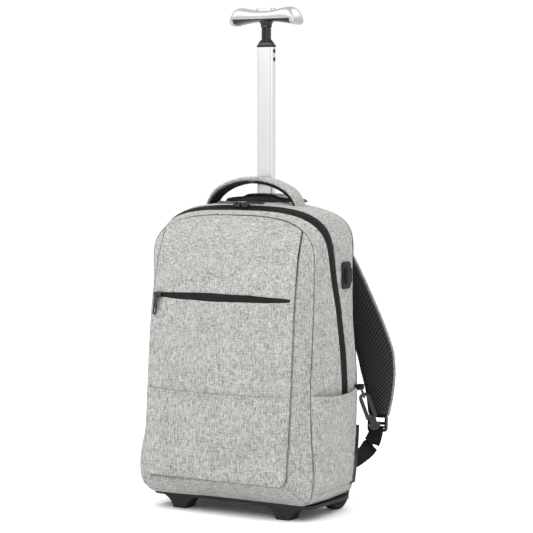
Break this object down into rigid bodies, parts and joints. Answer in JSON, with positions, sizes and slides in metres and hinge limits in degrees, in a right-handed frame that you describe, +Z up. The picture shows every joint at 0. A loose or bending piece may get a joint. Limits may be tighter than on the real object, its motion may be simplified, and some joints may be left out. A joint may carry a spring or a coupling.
{
  "type": "wheeled backpack",
  "caption": "Light grey laptop backpack on two wheels, with a telescopic T-grip, padded shoulder straps and a front zip pocket.",
  "frame": {"origin": "on the floor, under the middle of the whole object's box", "axes": "+Z up, -Y the front with the zip pocket, +Y the back with the shoulder straps, +X the wearer's left hand side when seen from the front"},
  "size_m": [0.3868, 0.2246, 0.769],
  "materials": {
    "cloth": "light grey melange polyester, plain weave",
    "mesh": "black air mesh over foam",
    "webbing": "black nylon webbing and zip tape",
    "plastic": "black moulded plastic, fine texture",
    "gloss_plastic": "black moulded plastic, polished",
    "rubber": "soft black rubber",
    "tyre": "dark grey polyurethane tread",
    "aluminium": "pale anodised tube",
    "satin_silver": "satin silver paint",
    "dark_metal": "dark gunmetal plating",
    "axle_steel": "plain turned steel"
  },
  "bodies": {
    "bag": {"front_panel": "cloth", "front_zipper": "webbing", "slip_pocket": "cloth", "pocket_gusset": "cloth", "front_gusset": "cloth", "rear_gusset": "cloth", "zipper_tape": "webbing", "back_panel": "mesh", "back_pad": "mesh", "lumbar_pad": "mesh", "side_pocket_right": "cloth", "side_pocket_left": "cloth", "base_plate": "plastic", "front_foot_right": "plastic", "front_foot_left": "plastic", "wheel_housing_right": "plastic", "wheel_housing_left": "plastic", "wheel_axle_right": "axle_steel", "wheel_axle_left": "axle_steel", "corner_guard_right": "plastic", "corner_guard_left": "plastic", "trolley_sleeve": "aluminium", "trolley_housing": "gloss_plastic", "carry_handle_pad": "cloth", "carry_handle_base": "webbing", "strap_pad_right": "mesh", "strap_pad_left": "mesh", "strap_cover_right": "cloth", "strap_cover_left": "cloth", "ladder_lock_right": "plastic", "ladder_lock_left": "plastic", "strap_webbing_right": "webbing", "strap_webbing_left": "webbing", "d_ring_right": "dark_metal", "d_ring_left": "dark_metal", "ring_tab_right": "webbing", "ring_tab_left": "webbing", "snap_hook_right": "plastic", "snap_hook_left": "plastic", "usb_base": "rubber", "usb_cap": "rubber", "front_slider": "dark_metal", "top_slider_right": "dark_metal", "top_slider_left": "dark_metal"},
    "post": {"post_tube": "aluminium", "post_collar": "gloss_plastic", "post_plug_upper": "gloss_plastic", "post_plug_lower": "gloss_plastic"},
    "grip": {"inner_stage": "gloss_plastic", "grip_body": "gloss_plastic", "grip_shell": "satin_silver"},
    "button": {"grip_button": "satin_silver"},
    "wheel_right": {"wheel_tyre_right": "tyre", "wheel_hub_right": "plastic"},
    "wheel_left": {"wheel_tyre_left": "tyre", "wheel_hub_left": "plastic"},
    "front_pull": {"front_puller": "dark_metal"},
    "top_pull_right": {"top_puller_right": "dark_metal"},
    "top_pull_left": {"top_puller_left": "dark_metal"}
  },
  "joints": [
    {"name": "post_slide", "type": "slide", "parent": "bag", "child": "post", "axis": [0, 0, 1], "range_m": [-0.222, 0]},
    {"name": "grip_slide", "type": "slide", "parent": "post", "child": "grip", "axis": [0, 0, 1], "range_m": [0, 0.2]},
    {"name": "button_press", "type": "slide", "parent": "grip", "child": "button", "axis": [0, 0, -1], "range_m": [0, 0.003], "stiffness_N_per_m": 300},
    {"name": "wheel_right_spin", "type": "hinge", "parent": "bag", "child": "wheel_right", "pos_m": [0.1135, 0.057, 0.03], "axis": [1, 0, 0], "continuous": true},
    {"name": "wheel_left_spin", "type": "hinge", "parent": "bag", "child": "wheel_left", "pos_m": [-0.1135, 0.057, 0.03], "axis": [1, 0, 0], "continuous": true},
    {"name": "front_pull_swing", "type": "hinge", "parent": "bag", "child": "front_pull", "pos_m": [-0.1145, -0.09448, 0.331], "axis": [-0.9929, 0, 0.1191], "range_deg": [0, 120]},
    {"name": "top_pull_right_swing", "type": "hinge", "parent": "bag", "child": "top_pull_right", "pos_m": [0.007, -0.03235, 0.47146], "axis": [0, -0.9246, -0.3809], "range_deg": [0, 90]},
    {"name": "top_pull_left_swing", "type": "hinge", "parent": "bag", "child": "top_pull_left", "pos_m": [-0.007, -0.03235, 0.47146], "axis": [0, 0.9246, 0.3809], "range_deg": [0, 90]}
  ]
}
